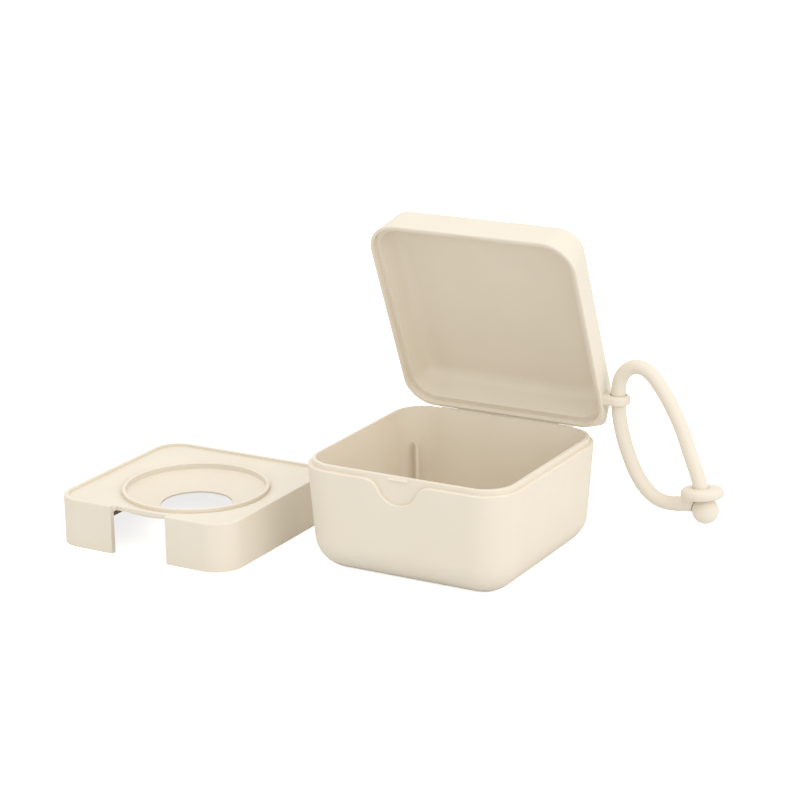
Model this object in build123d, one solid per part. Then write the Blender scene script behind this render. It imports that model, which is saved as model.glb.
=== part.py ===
from build123d import *
import math
import os

# A square case with rounded corners for baby soothers, standing open with its inner tray beside it.
# +X is right, +Y is back, +Z is up. The origin is the middle of the foot of the base, on the table.
# All sizes are in millimetres.

# The base: a moulded box with a raised lip that the lid closes over
case_half = 40.0
corner_radius = 13.0
shoulder_height = 37.6
side_draft = 2.1
foot_round = 12.0
foot_pad_half = 25.5
foot_pad_height = 0.2
base_wall = 2.73
foot_wall = 1.6
floor_thickness = 2.0
cavity_foot_round = 9.5
lip_height = 1.8
lip_inset = 1.55
edge_round = 0.45

# The thumb notch in the front wall, cut back to the face of the lip
notch_radius = 8.0
notch_mouth_round = 5.5
notch_bevel = 0.4

# The catch bead on the front of the lip, a small ramp, and its relief in the lid
bead_width = 7.4
bead_height = 0.9
bead_proud = 0.55
bead_below_lip_top = 0.35
bead_clearance = 0.25

# The four corner ribs that carry the tray inside the base
rib_thickness = 1.1
rib_depth = 4.2
rib_top = 26.0

# The lid, drawn closed and then turned to where it stands
lid_depth = 14.1
lid_draft = 2.9
lid_rim_radius = 12.0
lid_top_radius = 8.4
lid_heel_radius = 5.0
lid_heel_height = 2.0
lid_top_round = 1.6
lid_rim_wall = 1.25
lid_wall = 2.7
lid_panel = 2.0
lid_panel_round = 5.0
lid_lip_clearance = 0.3
rim_gap = 0.1
parked_angle = 66.9

# The hinge behind the back wall: a wire pin through two base knuckles and one lid knuckle
hinge_behind_wall = 1.2
hinge_below_shoulder = 0.5
knuckle_radius = 1.5
lid_knuckle_length = 40.0
base_knuckle_length = 6.0
knuckle_gap = 0.3
knuckle_relief = 0.2
gusset_height = 4.2
gusset_off_axis = 1.1
gusset_edge_angle = 15.0
web_root = 1.5
pin_radius = 0.6
pin_running_clearance = 0.05

# The strap's eyelet on the right wall of the lid
eyelet_from_back = 11.5
eyelet_above_rim = 4.85
eyelet_reach = 3.9
eyelet_outer_radius = 4.3
eyelet_height = 3.6
eyelet_clearance = 0.35
eyelet_round = 1.3

# The strap: one soft moulding of a round cord with a ring at one end and a ball at the other
cord_diameter = 5.2
ring_radius = 7.5
ring_thickness = 3.6
ring_round = 1.6
ring_clearance = 0.2
ring_above_ball = 0.69
ring_shift = 0.15
ring_tilt = 5.0
ball_radius = 4.74
neck_length = 7.5
neck_stem_radius = 3.2

# The tray: a plate with a skirt, dished down to a round hole, and a thin ring for the shield
tray_clearance = 0.25
tray_height = 17.6
tray_skirt = 2.0
tray_border = 1.75
tray_border_height = 0.92
tray_plate = 1.5
tray_edge_round = 0.4
dish_radius = 32.0
dish_wall = 2.2
dish_edge_run = 2.35
hole_radius = 12.9
hole_below_rim = 8.1
hole_edge = 0.6
shield_ring_radius = 26.5
shield_ring_wall = 1.2
shield_ring_below_rim = 1.6
slot_half_width = 11.5
slot_set_back = 3.6
tray_place_x = -94.3
tray_place_y = -19.7

# Sizes that follow from the ones above
lip_top = shoulder_height + lip_height
lip_half = case_half - lip_inset
cavity_half = case_half - base_wall
cavity_radius = corner_radius - base_wall
cavity_foot_half = case_half - side_draft - foot_wall
hinge_y = case_half + hinge_behind_wall
hinge_z = shoulder_height - hinge_below_shoulder
rim_height = shoulder_height + rim_gap
lid_top = rim_height + lid_depth
cord_radius = cord_diameter / 2
OVERRUN = 3.0
ROUND_ROOM = 0.5
HAIR = 0.05

# The strap's route, from the neck of the ring through the eyelet and back down to the ball
cord_route = [
    (66.5, 41.2, 16.05),
    (60.6, 41.2, 15.3),
    (52.9, 41.2, 21.4),
    (47.6, 41.2, 32.3),
    (44.4, 41.2, 43.2),
    (43.85, 41.2, 52.6),
    (44.3, 41.2, 59.2),
    (48.9, 41.2, 64.1),
    (55.2, 41.2, 63.4),
    (61.4, 41.2, 55.9),
    (67.4, 41.4, 45.3),
    (71.6, 41.5, 33.9),
    (74.9, 41.25, 26.1),
    (76.72, 40.9, 19.32),
]
cord_bend_share = 0.45


def rounded_block(low_half, high_half, low_z, high_z, low_radius, high_radius):
    """A block with rounded corners whose sides run from one half width to another."""
    low = Plane.XY.offset(low_z) * RectangleRounded(2 * low_half, 2 * low_half, low_radius)
    high = Plane.XY.offset(high_z) * RectangleRounded(2 * high_half, 2 * high_half, high_radius)
    return loft([low, high], ruled=True)


def along_x(radius, length, y, z, x=0.0):
    """A round bar along X, with its middle at x, y, z."""
    return Pos(x, y, z) * Rot(0, 90, 0) * Cylinder(radius, length)


def bar_between(start, end, radius):
    """A round bar from one point to another."""
    axis = Vector(*end) - Vector(*start)
    plane = Plane(origin=start, z_dir=axis)
    return plane * Cylinder(radius, axis.length, align=(Align.CENTER, Align.CENTER, Align.MIN))


def edges_at(shape, height):
    """The edges of a shape that lie at one height."""
    return shape.edges().filter_by_position(Axis.Z, height - 0.01, height + 0.01)


def at_parked_angle(shape):
    """Turns something drawn on the closed lid to where the lid stands in the model."""
    return Pos(0, hinge_y, hinge_z) * Rot(-parked_angle, 0, 0) * Pos(0, -hinge_y, -hinge_z) * shape


def notch_cutter():
    """The thumb notch: a half round with its two mouths rounded over."""
    mouth = math.sqrt((notch_radius + notch_mouth_round) ** 2 - notch_mouth_round**2)
    share = notch_radius / (notch_radius + notch_mouth_round)
    join_x = mouth * share
    join_z = -notch_mouth_round * share
    half_turn = 0.5 * math.atan2(mouth, notch_mouth_round)
    over_x = mouth - notch_mouth_round * math.sin(half_turn)
    over_z = -notch_mouth_round + notch_mouth_round * math.cos(half_turn)
    outline = Wire([
        Line((-mouth, OVERRUN), (-mouth, 0)),
        ThreePointArc((-mouth, 0), (-over_x, over_z), (-join_x, join_z)),
        ThreePointArc((-join_x, join_z), (0, -notch_radius), (join_x, join_z)),
        ThreePointArc((join_x, join_z), (over_x, over_z), (mouth, 0)),
        Line((mouth, 0), (mouth, OVERRUN)),
        Line((mouth, OVERRUN), (-mouth, OVERRUN)),
    ])
    outline = make_face(outline)
    face = Plane(origin=(0, -lip_half, shoulder_height), x_dir=(1, 0, 0), z_dir=(0, -1, 0)) * outline
    lean = math.atan2(side_draft, shoulder_height)
    wall = Plane(
        origin=(0, notch_bevel - case_half, shoulder_height), x_dir=(1, 0, 0),
        z_dir=(0, -math.cos(lean), -math.sin(lean)),
    )
    bevel = extrude(wall * outline, amount=2 * notch_bevel, taper=-45)
    return extrude(face, amount=lip_inset + OVERRUN) + bevel


def lid_section(half, height, front_radius, back_radius):
    """A level slice of the closed lid, whose back corners may be squarer than its front ones."""
    face = Rectangle(2 * half, 2 * half)
    face = fillet(face.vertices().group_by(Axis.Y)[0], front_radius)
    face = fillet(face.vertices().group_by(Axis.Y)[-1], back_radius)
    return Plane.XY.offset(height) * face


def gusset(direction, x, length):
    """The web between a knuckle and its wall, above the axis for the lid and below it for the base."""
    edge_y = hinge_y + knuckle_radius * math.cos(math.radians(gusset_edge_angle))
    edge_z = hinge_z + direction * knuckle_radius * math.sin(math.radians(gusset_edge_angle))
    outline = Polyline(
        (case_half - web_root, hinge_z + direction * gusset_off_axis),
        (case_half - web_root, hinge_z + direction * gusset_height),
        (edge_y, edge_z),
        (hinge_y, hinge_z),
        close=True,
    )
    face = Plane(origin=(x - length / 2, 0, 0), x_dir=(0, 1, 0), z_dir=(1, 0, 0)) * make_face(outline)
    return extrude(face, amount=length)


def base_knuckle_places():
    """The middles of the two base knuckles along the hinge."""
    reach = lid_knuckle_length / 2 + knuckle_gap + base_knuckle_length / 2
    return (-reach, reach)


def corner_rib(turn):
    """One upright rib in a corner of the base, its top a seat for the tray's skirt."""
    corner = (cavity_half - cavity_radius) * math.sqrt(2) + cavity_radius
    rib = Box(rib_depth + base_wall, rib_thickness, rib_top - floor_thickness / 2)
    place = Pos(corner - rib_depth + (rib_depth + base_wall) / 2, 0, (rib_top + floor_thickness / 2) / 2)
    return Rot(0, 0, turn) * place * rib


def make_base():
    """The lower shell of the case."""
    foot_half = case_half - side_draft
    outer = rounded_block(foot_half, case_half, 0, shoulder_height, corner_radius, corner_radius)
    outer = fillet(edges_at(outer, 0), min(foot_round, corner_radius - ROUND_ROOM))
    pad = Pos(0, 0, foot_pad_height) * Box(2 * foot_pad_half, 2 * foot_pad_half, 2 * foot_pad_height)
    outer = outer - Box(3 * case_half, 3 * case_half, 2 * foot_pad_height) + pad
    outer = fillet(edges_at(outer, shoulder_height), edge_round)
    lip_radius = corner_radius - lip_inset
    lip = rounded_block(lip_half, lip_half, shoulder_height - OVERRUN, lip_top, lip_radius, lip_radius)
    lip = fillet(edges_at(lip, lip_top), edge_round / 2)
    cavity = rounded_block(
        cavity_foot_half, cavity_half, floor_thickness, lip_top + OVERRUN, cavity_radius, cavity_radius
    )
    cavity = fillet(edges_at(cavity, floor_thickness), min(cavity_foot_round, cavity_radius - ROUND_ROOM))
    ribs = [corner_rib(45 + 90 * n) & outer for n in range(4)]
    bead_top = lip_top - bead_below_lip_top
    ramp = Polyline(
        (bead_proud - lip_half, bead_top),
        (-lip_half, bead_top),
        (-lip_half - bead_proud, bead_top - bead_height),
        (bead_proud - lip_half, bead_top - bead_height),
        close=True,
    )
    bead_end = Plane(origin=(-bead_width / 2, 0, 0), x_dir=(0, 1, 0), z_dir=(1, 0, 0)) * make_face(ramp)
    bead = extrude(bead_end, amount=bead_width)
    shell = outer + lip - cavity - notch_cutter()
    shell = shell + ribs + bead
    relief = along_x(
        knuckle_radius + knuckle_relief, lid_knuckle_length + 2 * knuckle_gap, hinge_y, hinge_z
    )
    shell = shell - relief
    for x in base_knuckle_places():
        barrel = along_x(knuckle_radius, base_knuckle_length, hinge_y, hinge_z, x)
        shell = shell + barrel + gusset(-1, x, base_knuckle_length)
    return shell - along_x(pin_radius, 4 * lid_knuckle_length, hinge_y, hinge_z)


def make_eyelet():
    """The eyelet, on the closed lid. Its hole stands plumb once the lid is at its parked angle."""
    ring = Cylinder(eyelet_outer_radius, eyelet_height)
    root_length = eyelet_reach + web_root
    root = Pos(-root_length / 2, 0, 0) * Box(root_length, 2 * eyelet_outer_radius, eyelet_height)
    lug = ring + root
    lug = fillet(lug.edges().filter_by(GeomType.CIRCLE), eyelet_round)
    lug = lug - Cylinder(cord_radius + eyelet_clearance, 2 * eyelet_height)
    place = Pos(case_half + eyelet_reach, case_half - eyelet_from_back, rim_height + eyelet_above_rim)
    return place * Rot(parked_angle, 0, 0) * lug


def make_lid():
    """The upper shell of the case, turned to its parked angle."""
    share = lid_heel_height / lid_depth
    heel_half = case_half - lid_draft * share
    heel_front_radius = lid_rim_radius + (lid_top_radius - lid_rim_radius) * share
    outer = loft([
        lid_section(case_half, rim_height, lid_rim_radius, lid_rim_radius),
        lid_section(heel_half, rim_height + lid_heel_height, heel_front_radius, lid_heel_radius),
        lid_section(case_half - lid_draft, lid_top, lid_top_radius, lid_heel_radius),
    ], ruled=True)
    outer = fillet(edges_at(outer, lid_top), lid_top_round)
    outer = fillet(edges_at(outer, rim_height), edge_round)
    recess_half = case_half - lid_rim_wall
    recess_top = lip_top + lid_lip_clearance
    recess_radius = lid_rim_radius - lid_rim_wall
    recess = rounded_block(
        recess_half, recess_half, rim_height - OVERRUN, recess_top, recess_radius, recess_radius
    )
    inner_half = case_half - lid_wall
    inner = rounded_block(
        inner_half, inner_half - lid_draft, rim_height, lid_top - lid_panel, lid_rim_radius - lid_wall,
        lid_top_radius - lid_wall,
    )
    inner = fillet(edges_at(inner, lid_top - lid_panel), lid_panel_round)
    shell = outer + gusset(1, 0, lid_knuckle_length) + make_eyelet() - recess - inner
    shell = shell - Pos(0, -lip_half, rim_height) * Box(
        bead_width + 2 * bead_clearance, 2 * (bead_proud + bead_clearance), 2 * (recess_top - rim_height)
    )
    for x in base_knuckle_places():
        shell = shell - along_x(
            knuckle_radius + knuckle_relief, base_knuckle_length + 2 * knuckle_gap, hinge_y, hinge_z, x
        )
    shell = shell + along_x(knuckle_radius, lid_knuckle_length, hinge_y, hinge_z)
    shell = shell - along_x(pin_radius + pin_running_clearance, 2 * lid_knuckle_length, hinge_y, hinge_z)
    return at_parked_angle(shell)


def make_pin():
    """The wire pin of the hinge."""
    length = lid_knuckle_length + 2 * (knuckle_gap + base_knuckle_length)
    return along_x(pin_radius, length, hinge_y, hinge_z)


def make_tray():
    """The loose tray, standing on the table at the left of the case."""
    share = (rib_top - floor_thickness) / (lip_top + OVERRUN - floor_thickness)
    seat_half = cavity_foot_half + (cavity_half - cavity_foot_half) * share
    half = seat_half - tray_clearance
    radius = cavity_radius - tray_clearance
    plate_top = tray_height - tray_border_height
    hole_top = tray_height - hole_below_rim
    outer = rounded_block(half, half, 0, tray_height, radius, radius)
    outer = fillet(edges_at(outer, tray_height), tray_edge_round)
    under_half = half - tray_skirt
    under_radius = radius - tray_skirt
    under_top = plate_top - tray_plate
    under = rounded_block(under_half, under_half, -OVERRUN, under_top, under_radius, under_radius)
    inside_half = half - tray_border
    inside_radius = radius - tray_border
    inside = rounded_block(
        inside_half, inside_half, plate_top, tray_height + OVERRUN, inside_radius, inside_radius
    )
    frame = outer - under - inside
    slope = (plate_top - hole_top) / (dish_radius - hole_radius)
    drop = dish_wall * math.sqrt(1 + slope**2)
    hollow_radius = dish_radius + dish_edge_run + HAIR
    above = make_face(Polyline(
        (0, hole_top), (hole_radius, hole_top), (dish_radius, plate_top), (hollow_radius, plate_top),
        (hollow_radius, tray_height + OVERRUN), (0, tray_height + OVERRUN), close=True,
    ))
    crease = above.vertices().sort_by_distance((dish_radius, plate_top, 0))[:1]
    above = fillet(crease, dish_edge_run / math.tan(math.atan(slope) / 2))
    dish = Polyline(
        (hole_radius, hole_top), (dish_radius, plate_top), (dish_radius, plate_top - drop),
        (hole_radius, hole_top - hole_edge), close=True,
    )
    ring_foot = hole_top + slope * (shield_ring_radius - hole_radius) - drop / 2
    ring_inner = shield_ring_radius - shield_ring_wall
    ring_inner_foot = hole_top + slope * (ring_inner - hole_radius) - drop / 2
    ring_top = tray_height - shield_ring_below_rim
    ring = Polyline(
        (ring_inner, ring_inner_foot), (shield_ring_radius, ring_foot), (shield_ring_radius, ring_top),
        (ring_inner, ring_top), close=True,
    )
    shape = frame + revolve(Plane.XZ * make_face(dish), Axis.Z) - revolve(Plane.XZ * above, Axis.Z)
    shape = shape + revolve(Plane.XZ * make_face(ring), Axis.Z)
    slot = Pos(0, -half + slot_set_back - OVERRUN, tray_height / 2) * Box(
        2 * slot_half_width, 2 * OVERRUN, tray_height + 2 * OVERRUN
    )
    return Pos(tray_place_x, tray_place_y, 0) * (shape - slot)


def cord_path():
    """The middle line of the cord: straight runs joined by arcs as large as the runs allow."""
    points = [Vector(*point) for point in cord_route]
    radii = []
    for before, here, after in zip(points, points[1:], points[2:]):
        turn = math.radians((here - before).get_angle(after - here))
        run = min((here - before).length, (after - here).length)
        radii.append(cord_bend_share * run / math.tan(turn / 2))
    return FilletPolyline(*points, radius=radii), radii


def make_cord():
    """The round cord of the strap."""
    path, radii = cord_path()
    section = Plane(origin=path @ 0, z_dir=path % 0) * Circle(cord_radius)
    tube = sweep(section, path=path)
    straight = math.pi * cord_radius**2 * path.length
    print("cord length", round(path.length, 1), "radii", [round(r, 1) for r in radii])
    print("cord volume over section times length", round(tube.volume / straight, 4))
    return tube


def cord_end_direction():
    """The way the cord runs where it ends in the ball."""
    return (Vector(*cord_route[-1]) - Vector(*cord_route[-2])).normalized()


def ball_centre():
    """The ball's centre, set so that the cord ends flat on it."""
    flat = math.sqrt(ball_radius**2 - cord_radius**2)
    return Vector(*cord_route[-1]) + cord_end_direction() * flat


def make_ball():
    """The ball at the end of the strap, with a flat where the cord meets it."""
    flat = math.sqrt(ball_radius**2 - cord_radius**2)
    cutter = Plane(origin=Vector(*cord_route[-1]), z_dir=cord_end_direction() * -1) * Cylinder(
        2 * ball_radius, ball_radius, align=(Align.CENTER, Align.CENTER, Align.MIN)
    )
    return Pos(*ball_centre()) * Sphere(ball_radius) - cutter


def make_ring():
    """The ring at the other end of the strap, which the cord passes through above the ball."""
    seat = math.sqrt(ball_radius**2 - (cord_radius + ring_clearance) ** 2)
    centre = ball_centre() - cord_end_direction() * (seat + ring_above_ball + ring_thickness / 2)
    disc = fillet(Cylinder(ring_radius, ring_thickness).edges(), ring_round)
    disc = Pos(*centre) * Pos(ring_shift, 0, 0) * Rot(-ring_tilt, -ring_tilt, 0) * disc
    start = Vector(*cord_route[0])
    out = (start - Vector(*cord_route[1])).normalized()
    end = start + out * neck_length
    neck = bar_between(start, end, cord_radius)
    stem_x = centre.X + ring_shift - ring_radius + neck_stem_radius
    stem = bar_between(Vector(stem_x, start.Y, start.Z), Vector(stem_x, start.Y, centre.Z), neck_stem_radius)
    shape = disc + neck + stem
    bore_end = centre - cord_end_direction() * ring_radius
    bore = bar_between(ball_centre(), bore_end, cord_radius + ring_clearance)
    room = Pos(*ball_centre()) * Sphere(ball_radius + ring_clearance)
    return shape - bore - room


os.makedirs("parts", exist_ok=True)
pieces = {
    "base": make_base(),
    "lid": make_lid(),
    "hinge_pin": make_pin(),
    "tray": make_tray(),
    "strap_cord": make_cord(),
    "strap_ring": make_ring(),
    "strap_ball": make_ball(),
}
for name, piece in pieces.items():
    export_step(piece, f"parts/{name}.step")
    print(name, "solids", len(piece.solids()), "volume", round(piece.volume, 1))
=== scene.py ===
import math

import bpy
from mathutils import Matrix, Vector


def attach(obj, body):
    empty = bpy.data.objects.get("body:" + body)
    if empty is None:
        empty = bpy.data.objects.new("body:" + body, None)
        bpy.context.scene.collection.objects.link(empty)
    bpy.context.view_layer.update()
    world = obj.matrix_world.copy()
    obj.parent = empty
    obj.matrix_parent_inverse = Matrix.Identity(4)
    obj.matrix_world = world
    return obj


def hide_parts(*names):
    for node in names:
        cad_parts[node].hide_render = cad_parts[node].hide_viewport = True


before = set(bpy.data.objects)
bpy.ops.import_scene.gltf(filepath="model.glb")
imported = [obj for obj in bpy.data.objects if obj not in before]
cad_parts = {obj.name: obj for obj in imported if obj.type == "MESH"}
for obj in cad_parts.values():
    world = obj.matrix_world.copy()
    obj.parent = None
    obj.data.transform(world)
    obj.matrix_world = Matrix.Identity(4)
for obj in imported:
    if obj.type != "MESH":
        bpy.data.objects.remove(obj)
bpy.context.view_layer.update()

# The view: a long lens to the right of the case's front, looking a little down on it.
# The frame is square, and the small shift puts the picture's middle where the photograph has it.
camera_place = (0.37936, -0.70806, 0.29863)
camera_turn = 29.65
camera_down = 16.79
camera_roll = -0.78
bpy.ops.object.select_all(action="DESELECT")
bpy.ops.object.camera_add(location=camera_place)
camera = bpy.context.object
camera.name = "camera"
camera.matrix_world = (
    Matrix.Translation(camera_place)
    @ Matrix.Rotation(math.radians(camera_turn), 4, "Z")
    @ Matrix.Rotation(math.radians(90 - camera_down), 4, "X")
    @ Matrix.Rotation(math.radians(camera_roll), 4, "Z")
)
camera.data.sensor_fit = "HORIZONTAL"
camera.data.sensor_width = 36.0
camera.data.lens = 109.775
camera.data.shift_x = 0.00974
camera.data.shift_y = -0.00058
camera.data.clip_start = 0.05
bpy.context.scene.camera = camera
bpy.context.scene.view_settings.view_transform = "Standard"

# The room: a warm white light from all round, like a photographer's light tent.
# To the camera, to gloss and through glass it shows as plain white.
world = bpy.data.worlds.new("white_room")
bpy.context.scene.world = world
world.use_nodes = True
room = world.node_tree
room.nodes.clear()
room_light = room.nodes.new("ShaderNodeBackground")
room_light.inputs["Color"].default_value = (1.0, 0.985, 0.96, 1.0)
room_light.inputs["Strength"].default_value = 0.97
room_white = room.nodes.new("ShaderNodeBackground")
room_white.inputs["Color"].default_value = (1.0, 1.0, 1.0, 1.0)
room_white.inputs["Strength"].default_value = 1.0
room_rays = room.nodes.new("ShaderNodeLightPath")
room_seen = room.nodes.new("ShaderNodeMath")
room_seen.operation = "MAXIMUM"
room.links.new(room_rays.outputs["Is Camera Ray"], room_seen.inputs[0])
room.links.new(room_rays.outputs["Is Transmission Ray"], room_seen.inputs[1])
room_shown = room.nodes.new("ShaderNodeMath")
room_shown.operation = "MAXIMUM"
room.links.new(room_seen.outputs[0], room_shown.inputs[0])
room.links.new(room_rays.outputs["Is Glossy Ray"], room_shown.inputs[1])
room_mix = room.nodes.new("ShaderNodeMixShader")
room_out = room.nodes.new("ShaderNodeOutputWorld")
room.links.new(room_shown.outputs[0], room_mix.inputs["Fac"])
room.links.new(room_light.outputs[0], room_mix.inputs[1])
room.links.new(room_white.outputs[0], room_mix.inputs[2])
room.links.new(room_mix.outputs[0], room_out.inputs["Surface"])

# The table: a plain pale sheet that keeps a faint shadow of the case.
# To the camera it glows a little, so that it meets the white room without an edge.
table_size = 8.0
bpy.ops.object.select_all(action="DESELECT")
bpy.ops.mesh.primitive_plane_add(size=table_size, location=(0, 0, 0))
table = bpy.context.object
table.name = "table"
table_paint = bpy.data.materials.new("table_white")
table_paint.use_nodes = True
table_nodes = table_paint.node_tree.nodes
table_shader = table_nodes["Principled BSDF"]
table_shader.inputs["Base Color"].default_value = (0.8, 0.8, 0.8, 1.0)
table_shader.inputs["Roughness"].default_value = 0.9
table_shader.inputs["Specular IOR Level"].default_value = 0.1
table_shader.inputs["Emission Color"].default_value = (1.0, 1.0, 1.0, 1.0)
table_rays = table_nodes.new("ShaderNodeLightPath")
table_glow = table_nodes.new("ShaderNodeMath")
table_glow.operation = "MULTIPLY"
table_glow.inputs[1].default_value = 0.77
table_paint.node_tree.links.new(table_rays.outputs["Is Camera Ray"], table_glow.inputs[0])
table_paint.node_tree.links.new(table_glow.outputs[0], table_shader.inputs["Emission Strength"])
table.data.materials.append(table_paint)

# The lamps: a broad soft box overhead, and another at the right of the case.
# The second one lights the right hand walls.
lamp_aim = Vector((0, 0, 0.03))
for name, place, width, energy in (
    ("top_lamp", (-0.25, -0.2, 1.25), 1.3, 3.3),
    ("side_lamp", (1.4, -0.3, 0.6), 1.2, 6.0),
):
    bpy.ops.object.light_add(type="AREA", location=place)
    lamp = bpy.context.object
    lamp.name = name
    lamp.data.shape = "RECTANGLE"
    lamp.data.size = width
    lamp.data.size_y = 1.0
    lamp.data.energy = energy
    lamp.data.color = (1.0, 0.985, 0.96)
    lamp.rotation_euler = (lamp_aim - lamp.location).to_track_quat("-Z", "Y").to_euler()

# The base: the lower shell, injection moulded in cream plastic with a fine satin grain from the steel mould.
# The grain is a quarter of a millimetre, and the tone drifts a little where the melt flowed and cooled.
satin = bpy.data.node_groups.new("satin_skin", "ShaderNodeTree")
satin.interface.new_socket("Tone", in_out="INPUT", socket_type="NodeSocketColor")
satin.interface.new_socket("Drift", in_out="INPUT", socket_type="NodeSocketFloat")
satin.interface.new_socket("Gloss", in_out="INPUT", socket_type="NodeSocketFloat")
satin.interface.new_socket("Grain Size", in_out="INPUT", socket_type="NodeSocketFloat")
satin.interface.new_socket("Colour", in_out="OUTPUT", socket_type="NodeSocketColor")
satin.interface.new_socket("Roughness", in_out="OUTPUT", socket_type="NodeSocketFloat")
satin.interface.new_socket("Height", in_out="OUTPUT", socket_type="NodeSocketFloat")
skin_in = satin.nodes.new("NodeGroupInput")
skin_out = satin.nodes.new("NodeGroupOutput")
skin_place = satin.nodes.new("ShaderNodeTexCoord")
flow = satin.nodes.new("ShaderNodeTexNoise")
flow.inputs["Scale"].default_value = 38.0
flow.inputs["Detail"].default_value = 3.0
flow.inputs["Roughness"].default_value = 0.55
satin.links.new(skin_place.outputs["Object"], flow.inputs["Vector"])
flow_range = satin.nodes.new("ShaderNodeMapRange")
flow_range.inputs["From Min"].default_value = 0.3
flow_range.inputs["From Max"].default_value = 0.7
satin.links.new(flow.outputs["Fac"], flow_range.inputs["Value"])
satin.links.new(skin_in.outputs["Drift"], flow_range.inputs["To Max"])
flow_dark = satin.nodes.new("ShaderNodeMix")
flow_dark.data_type = "RGBA"
flow_dark.blend_type = "MULTIPLY"
flow_dark.inputs["B"].default_value = (0.95, 0.94, 0.92, 1.0)
satin.links.new(flow_range.outputs["Result"], flow_dark.inputs["Factor"])
satin.links.new(skin_in.outputs["Tone"], flow_dark.inputs["A"])
satin.links.new(flow_dark.outputs["Result"], skin_out.inputs["Colour"])
grain = satin.nodes.new("ShaderNodeTexNoise")
grain.inputs["Detail"].default_value = 2.0
satin.links.new(skin_place.outputs["Object"], grain.inputs["Vector"])
satin.links.new(skin_in.outputs["Grain Size"], grain.inputs["Scale"])
satin.links.new(grain.outputs["Fac"], skin_out.inputs["Height"])
rub = satin.nodes.new("ShaderNodeTexNoise")
rub.inputs["Scale"].default_value = 150.0
rub.inputs["Detail"].default_value = 4.0
satin.links.new(skin_place.outputs["Object"], rub.inputs["Vector"])
rub_range = satin.nodes.new("ShaderNodeMapRange")
rub_range.inputs["From Min"].default_value = 0.35
rub_range.inputs["From Max"].default_value = 0.65
rub_range.inputs["To Min"].default_value = -0.05
rub_range.inputs["To Max"].default_value = 0.05
satin.links.new(rub.outputs["Fac"], rub_range.inputs["Value"])
rub_add = satin.nodes.new("ShaderNodeMath")
rub_add.operation = "ADD"
satin.links.new(skin_in.outputs["Gloss"], rub_add.inputs[0])
satin.links.new(rub_range.outputs["Result"], rub_add.inputs[1])
satin.links.new(rub_add.outputs[0], skin_out.inputs["Roughness"])

cream_plastic = bpy.data.materials.new("cream_plastic")
cream_plastic.use_nodes = True
plastic_tree = cream_plastic.node_tree
plastic_shader = plastic_tree.nodes["Principled BSDF"]
plastic_shader.inputs["IOR"].default_value = 1.49
plastic_skin = plastic_tree.nodes.new("ShaderNodeGroup")
plastic_skin.node_tree = satin
plastic_skin.inputs["Tone"].default_value = (0.80, 0.735, 0.625, 1.0)
plastic_skin.inputs["Drift"].default_value = 0.5
plastic_skin.inputs["Gloss"].default_value = 0.46
plastic_skin.inputs["Grain Size"].default_value = 4000.0
plastic_bump = plastic_tree.nodes.new("ShaderNodeBump")
plastic_bump.inputs["Strength"].default_value = 0.12
plastic_bump.inputs["Distance"].default_value = 0.00003
plastic_tree.links.new(plastic_skin.outputs["Colour"], plastic_shader.inputs["Base Color"])
plastic_tree.links.new(plastic_skin.outputs["Roughness"], plastic_shader.inputs["Roughness"])
plastic_tree.links.new(plastic_skin.outputs["Height"], plastic_bump.inputs["Height"])
plastic_tree.links.new(plastic_bump.outputs["Normal"], plastic_shader.inputs["Normal"])
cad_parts["base"].material_slots[0].material = cream_plastic

# The lid: the upper shell, moulded in the same plastic, open at the angle where the photograph shows it.
# Its rim has a recess for the base's lip, its right wall the eyelet and its back wall the middle knuckle.
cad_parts["lid"].material_slots[0].material = cream_plastic

# The hinge pin: a bright drawn steel wire 1.2 mm thick, pressed into the two knuckles of the base.
# The lid's knuckle turns on it. The drawing die leaves fine scratches along the wire.
wire_steel = bpy.data.materials.new("wire_steel")
wire_steel.use_nodes = True
wire_tree = wire_steel.node_tree
wire_shader = wire_tree.nodes["Principled BSDF"]
wire_shader.inputs["Base Color"].default_value = (0.58, 0.58, 0.57, 1.0)
wire_shader.inputs["Metallic"].default_value = 1.0
wire_place = wire_tree.nodes.new("ShaderNodeTexCoord")
wire_stretch = wire_tree.nodes.new("ShaderNodeMapping")
wire_stretch.inputs["Scale"].default_value = (60.0, 2600.0, 2600.0)
wire_drawn = wire_tree.nodes.new("ShaderNodeTexNoise")
wire_drawn.inputs["Scale"].default_value = 1.0
wire_rough = wire_tree.nodes.new("ShaderNodeMapRange")
wire_rough.inputs["To Min"].default_value = 0.24
wire_rough.inputs["To Max"].default_value = 0.4
wire_tree.links.new(wire_place.outputs["Object"], wire_stretch.inputs["Vector"])
wire_tree.links.new(wire_stretch.outputs["Vector"], wire_drawn.inputs["Vector"])
wire_tree.links.new(wire_drawn.outputs["Fac"], wire_rough.inputs["Value"])
wire_tree.links.new(wire_rough.outputs["Result"], wire_shader.inputs["Roughness"])
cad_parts["hinge_pin"].material_slots[0].material = wire_steel

# The tray: the loose inner plate, moulded in the same plastic, stood on the table beside the case.
# It is dished down to a round hole, and its thin upright ring holds the shield of a soother.
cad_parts["tray"].material_slots[0].material = cream_plastic

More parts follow.
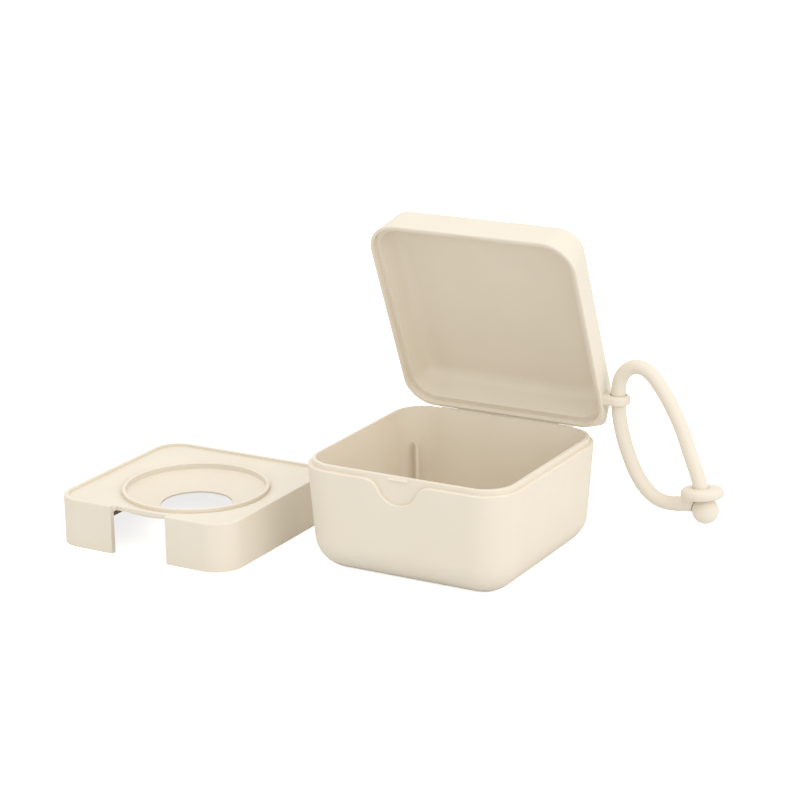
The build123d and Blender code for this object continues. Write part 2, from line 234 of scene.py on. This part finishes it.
# The strap: one soft moulding in cream silicone, a round cord 5.2 mm thick with a ring and a ball on it.
# The cord runs from the ring's neck up through the eyelet, over, and down through the ring to the ball.
# The ring's skin is evened and smoothed, and its neck runs half a millimetre into the cord, as one moulding.
silicone = bpy.data.materials.new("cream_silicone")
silicone.use_nodes = True
silicone_tree = silicone.node_tree
silicone_shader = silicone_tree.nodes["Principled BSDF"]
silicone_shader.inputs["IOR"].default_value = 1.41
silicone_shader.inputs["Sheen Weight"].default_value = 0.1
silicone_shader.inputs["Sheen Roughness"].default_value = 0.4
silicone_skin = silicone_tree.nodes.new("ShaderNodeGroup")
silicone_skin.node_tree = satin
silicone_skin.inputs["Tone"].default_value = (0.795, 0.732, 0.628, 1.0)
silicone_skin.inputs["Drift"].default_value = 0.4
silicone_skin.inputs["Gloss"].default_value = 0.56
silicone_skin.inputs["Grain Size"].default_value = 6000.0
silicone_bump = silicone_tree.nodes.new("ShaderNodeBump")
silicone_bump.inputs["Strength"].default_value = 0.15
silicone_bump.inputs["Distance"].default_value = 0.00003
silicone_tree.links.new(silicone_skin.outputs["Colour"], silicone_shader.inputs["Base Color"])
silicone_tree.links.new(silicone_skin.outputs["Roughness"], silicone_shader.inputs["Roughness"])
silicone_tree.links.new(silicone_skin.outputs["Height"], silicone_bump.inputs["Height"])
silicone_tree.links.new(silicone_bump.outputs["Normal"], silicone_shader.inputs["Normal"])
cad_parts["strap_ball"].material_slots[0].material = silicone

skin_voxel = 0.00025
skin_fullness = 0.00012
neck_end = 0.0672
neck_overlap = 0.0005
bpy.ops.object.select_all(action="DESELECT")
loop = bpy.data.objects.new("strap_loop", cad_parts["strap_ring"].data.copy())
bpy.context.scene.collection.objects.link(loop)
bpy.context.view_layer.objects.active = loop
loop.select_set(True)
bpy.ops.object.mode_set(mode="EDIT")
bpy.ops.mesh.select_all(action="SELECT")
bpy.ops.mesh.remove_doubles(threshold=0.00001)
bpy.ops.object.mode_set(mode="OBJECT")
even_skin = loop.modifiers.new("even_skin", "REMESH")
even_skin.mode = "VOXEL"
even_skin.voxel_size = skin_voxel
bpy.ops.object.modifier_apply(modifier="even_skin")
soft_flow = loop.modifiers.new("soft_flow", "SMOOTH")
soft_flow.factor = 0.5
soft_flow.iterations = 16
bpy.ops.object.modifier_apply(modifier="soft_flow")
full_skin = loop.modifiers.new("full_skin", "DISPLACE")
full_skin.strength = skin_fullness
full_skin.mid_level = 0.0
bpy.ops.object.modifier_apply(modifier="full_skin")
for corner in loop.data.vertices:
    if corner.co.x < neck_end:
        corner.co.x -= neck_overlap
bpy.ops.object.shade_smooth()
loop.data.materials.clear()
loop.data.materials.append(silicone)
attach(loop, "strap")
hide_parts("strap_ring")

cord_route = [
    (0.0665, 0.0412, 0.01605),
    (0.0606, 0.0412, 0.0153),
    (0.0529, 0.0412, 0.0214),
    (0.0476, 0.0412, 0.0323),
    (0.0444, 0.0412, 0.0432),
    (0.04385, 0.0412, 0.0526),
    (0.0443, 0.0412, 0.0592),
    (0.0489, 0.0412, 0.0641),
    (0.0552, 0.0412, 0.0634),
    (0.0614, 0.0412, 0.0559),
    (0.0674, 0.0414, 0.0453),
    (0.0716, 0.0415, 0.0339),
    (0.0749, 0.04125, 0.0261),
    (0.07672, 0.0409, 0.01932),
]
cord_radius = 0.0026
cord_line = bpy.data.curves.new("strap", "CURVE")
cord_line.dimensions = "3D"
cord_line.bevel_depth = cord_radius
cord_line.bevel_resolution = 8
cord_line.resolution_u = 12
cord_line.use_fill_caps = True
cord_spline = cord_line.splines.new("NURBS")
cord_spline.points.add(len(cord_route) - 1)
for place, point in zip(cord_route, cord_spline.points):
    point.co = (*place, 1.0)
cord_spline.order_u = 3
cord_spline.use_endpoint_u = True
strap = bpy.data.objects.new("strap", cord_line)
bpy.context.scene.collection.objects.link(strap)
strap.data.materials.append(silicone)
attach(strap, "strap")
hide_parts("strap_cord")
